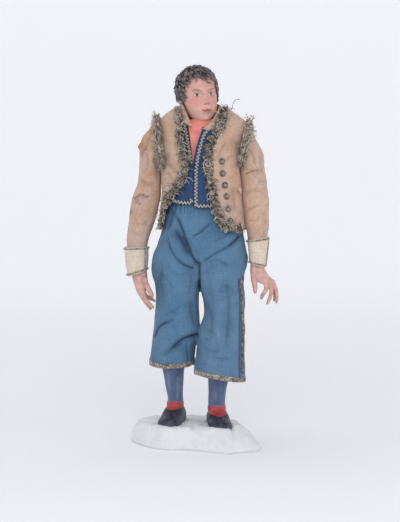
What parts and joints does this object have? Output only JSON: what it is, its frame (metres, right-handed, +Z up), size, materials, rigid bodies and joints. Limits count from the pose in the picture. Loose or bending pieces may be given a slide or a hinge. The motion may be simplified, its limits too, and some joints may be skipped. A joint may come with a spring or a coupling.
{
  "type": "commoner figure",
  "caption": "Standing dressed commoner figure for a nativity scene: painted head, hands and legs, cloth jacket, waistcoat and breeches, on a plaster mound that it rests on.",
  "frame": {"origin": "on the floor, under the middle of the plaster mound", "axes": "+Z up, -Y is the way the figure's body faces, so +X is the figure's left"},
  "size_m": [0.1557, 0.1077, 0.3793],
  "materials": {
    "plaster": "matt white plaster, slightly lumpy",
    "painted_head": "painted terracotta, satin",
    "painted_hand": "painted carved wood, satin",
    "painted_leg": "painted carved wood, satin",
    "blue_cloth": "plain woven silk and cotton, matt",
    "coral_silk": "thin silk, soft sheen",
    "navy_silk": "silk, soft sheen",
    "tan_silk": "worn, stained silk, soft sheen",
    "cream_silk": "silk, soft sheen",
    "gilt_thread": "tarnished metal-thread braid and fringe"
  },
  "bodies": {
    "root": {"plaster_base": "plaster", "leg_right": "painted_leg", "leg_left": "painted_leg", "breeches": "blue_cloth", "hem_braid_right": "gilt_thread", "hem_braid_left": "gilt_thread", "side_braid_left": "gilt_thread", "head": "painted_head", "shirt": "coral_silk", "waistcoat": "navy_silk", "jacket_collar": "tan_silk", "jacket": "tan_silk", "waistcoat_braid_right": "gilt_thread", "waistcoat_hem_braid_right": "gilt_thread", "waistcoat_braid_left": "gilt_thread", "jacket_fringe_right": "gilt_thread", "jacket_fringe_left": "gilt_thread", "jacket_button_1": "gilt_thread", "jacket_button_2": "gilt_thread", "jacket_button_3": "gilt_thread", "jacket_button_4": "gilt_thread", "jacket_button_5": "gilt_thread", "jacket_button_6": "gilt_thread", "sleeve_right": "tan_silk", "cuff_right": "cream_silk", "cuff_braid_right": "gilt_thread", "hand_right": "painted_hand", "armhole_fringe_right": "gilt_thread", "sleeve_left": "tan_silk", "cuff_left": "cream_silk", "cuff_braid_left": "gilt_thread", "hand_left": "painted_hand", "armhole_fringe_left": "gilt_thread"}
  },
  "joints": []
}
